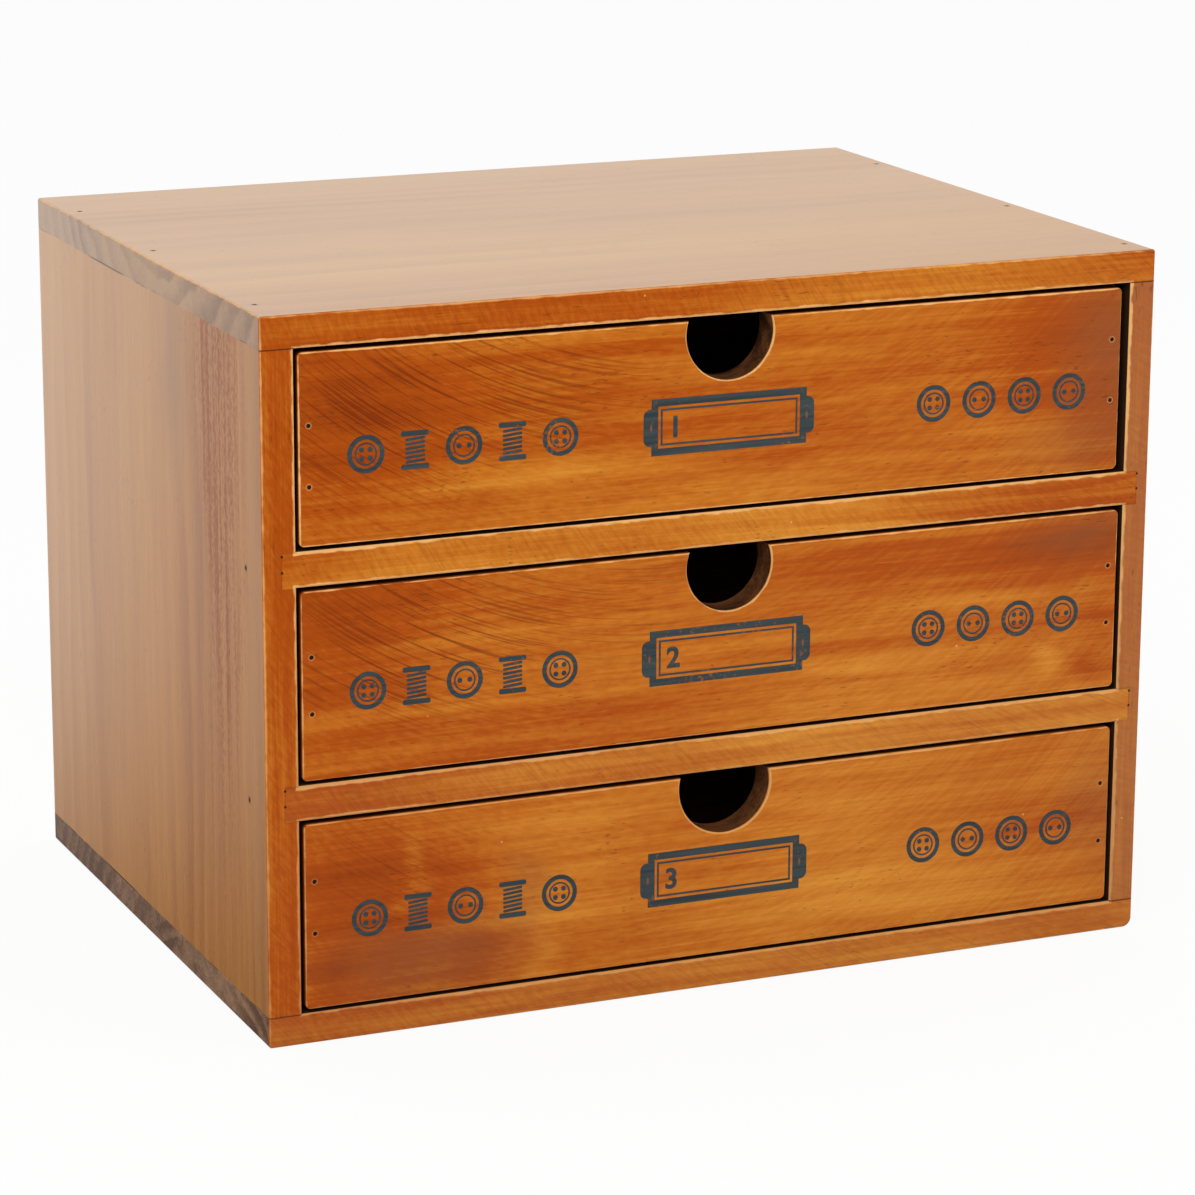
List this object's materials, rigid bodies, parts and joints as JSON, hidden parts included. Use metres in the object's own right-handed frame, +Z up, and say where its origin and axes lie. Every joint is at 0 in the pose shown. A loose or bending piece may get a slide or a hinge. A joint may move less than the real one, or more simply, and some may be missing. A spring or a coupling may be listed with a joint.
{
  "type": "drawer organizer",
  "caption": "Desktop cabinet of stained pine with stacked inset drawers for buttons and small craft parts, each drawer pulled by a round finger notch in its front.",
  "frame": {"origin": "centre of the case's footprint, on the surface that it stands on", "axes": "+X to the right as seen from the front, +Y from the drawer fronts to the back, +Z up"},
  "size_m": [0.33, 0.25, 0.2486],
  "materials": {
    "stained_pine": "honey-orange stained pine under a semi-gloss lacquer, worn pale along the edges",
    "inner_pine": "pine with a thin coat of the same stain, matt",
    "plywood": "thin plywood with a thin coat of the same stain, matt",
    "brad_steel": "dull steel nail, sunk just under the surface"
  },
  "bodies": {
    "case": {"top_board": "stained_pine", "bottom_board": "stained_pine", "left_side_board": "stained_pine", "right_side_board": "stained_pine", "back_panel": "plywood", "middle_drawer_rail": "stained_pine", "upper_drawer_rail": "stained_pine", "middle_drawer_left_runner": "inner_pine", "middle_drawer_right_runner": "inner_pine", "upper_drawer_left_runner": "inner_pine", "upper_drawer_right_runner": "inner_pine", "top_board_brads": "brad_steel", "bottom_board_brads": "brad_steel", "rail_brads": "brad_steel", "rail_pins": "brad_steel", "back_panel_brads": "brad_steel", "runner_brads": "brad_steel"},
    "lower_drawer": {"lower_drawer_front": "stained_pine", "lower_drawer_left_side": "inner_pine", "lower_drawer_right_side": "inner_pine", "lower_drawer_back": "inner_pine", "lower_drawer_bottom": "plywood", "lower_drawer_front_brads": "brad_steel", "lower_drawer_back_brads": "brad_steel"},
    "middle_drawer": {"middle_drawer_front": "stained_pine", "middle_drawer_left_side": "inner_pine", "middle_drawer_right_side": "inner_pine", "middle_drawer_back": "inner_pine", "middle_drawer_bottom": "plywood", "middle_drawer_front_brads": "brad_steel", "middle_drawer_back_brads": "brad_steel"},
    "upper_drawer": {"upper_drawer_front": "stained_pine", "upper_drawer_left_side": "inner_pine", "upper_drawer_right_side": "inner_pine", "upper_drawer_back": "inner_pine", "upper_drawer_bottom": "plywood", "upper_drawer_front_brads": "brad_steel", "upper_drawer_back_brads": "brad_steel"}
  },
  "joints": [
    {"name": "lower_drawer_slide", "type": "slide", "parent": "case", "child": "lower_drawer", "axis": [0, -1, 0], "range_m": [0, 0.2]},
    {"name": "middle_drawer_slide", "type": "slide", "parent": "case", "child": "middle_drawer", "axis": [0, -1, 0], "range_m": [0, 0.2]},
    {"name": "upper_drawer_slide", "type": "slide", "parent": "case", "child": "upper_drawer", "axis": [0, -1, 0], "range_m": [0, 0.2]}
  ]
}
